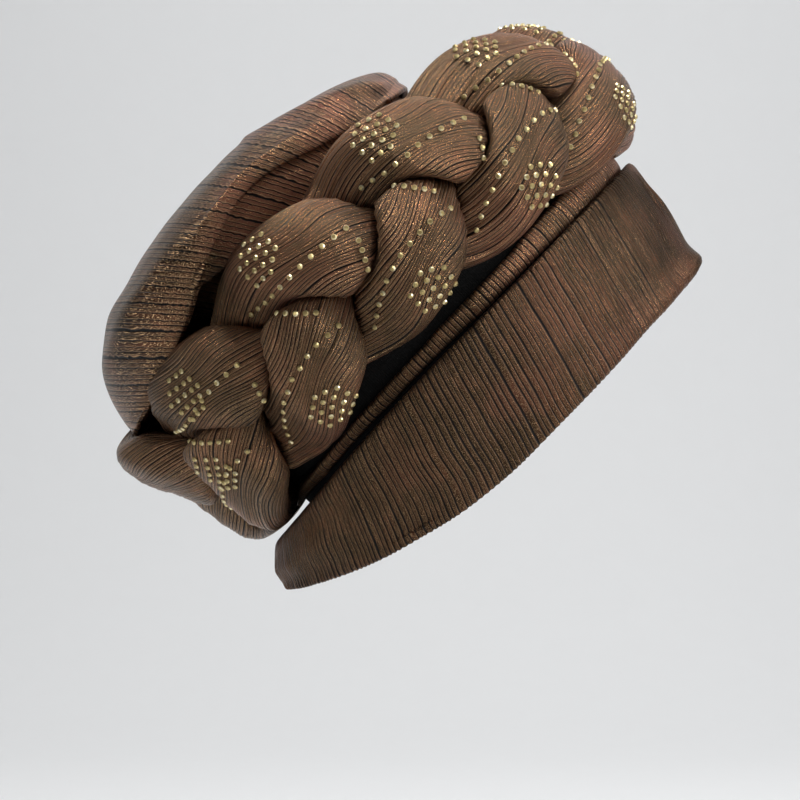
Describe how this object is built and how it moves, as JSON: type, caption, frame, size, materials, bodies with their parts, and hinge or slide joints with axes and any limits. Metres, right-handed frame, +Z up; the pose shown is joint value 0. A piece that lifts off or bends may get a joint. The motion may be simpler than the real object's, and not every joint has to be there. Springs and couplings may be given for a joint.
{
  "type": "tied gele head tie",
  "caption": "Ribbed metallic cloth turban tied in a gele shape: wide headband, padded three-strand braid round the crown and a draped crown bag.",
  "frame": {"origin": "centre of the head opening, half way between the hem at the forehead and the hem at the nape", "axes": "+X to the wearer's front, +Y to the wearer's left, +Z up with the wearer upright"},
  "size_m": [0.2787, 0.2472, 0.2625],
  "materials": {
    "cap_knit": "matte black stretch knit",
    "headband_lurex": "ribbed copper bronze metallic cloth",
    "roll_lurex": "ribbed copper bronze metallic cloth",
    "bag_lurex": "ribbed copper bronze metallic cloth",
    "braid_lurex_1": "gathered copper bronze metallic cloth with rhinestones",
    "braid_lurex_2": "gathered copper bronze metallic cloth with rhinestones",
    "braid_lurex_3": "gathered copper bronze metallic cloth with rhinestones"
  },
  "bodies": {
    "root": {"under_cap": "cap_knit", "headband": "headband_lurex", "band_roll": "roll_lurex", "crown_bag": "bag_lurex", "braid_strand_1": "braid_lurex_1", "braid_strand_2": "braid_lurex_2", "braid_strand_3": "braid_lurex_3"}
  },
  "joints": []
}
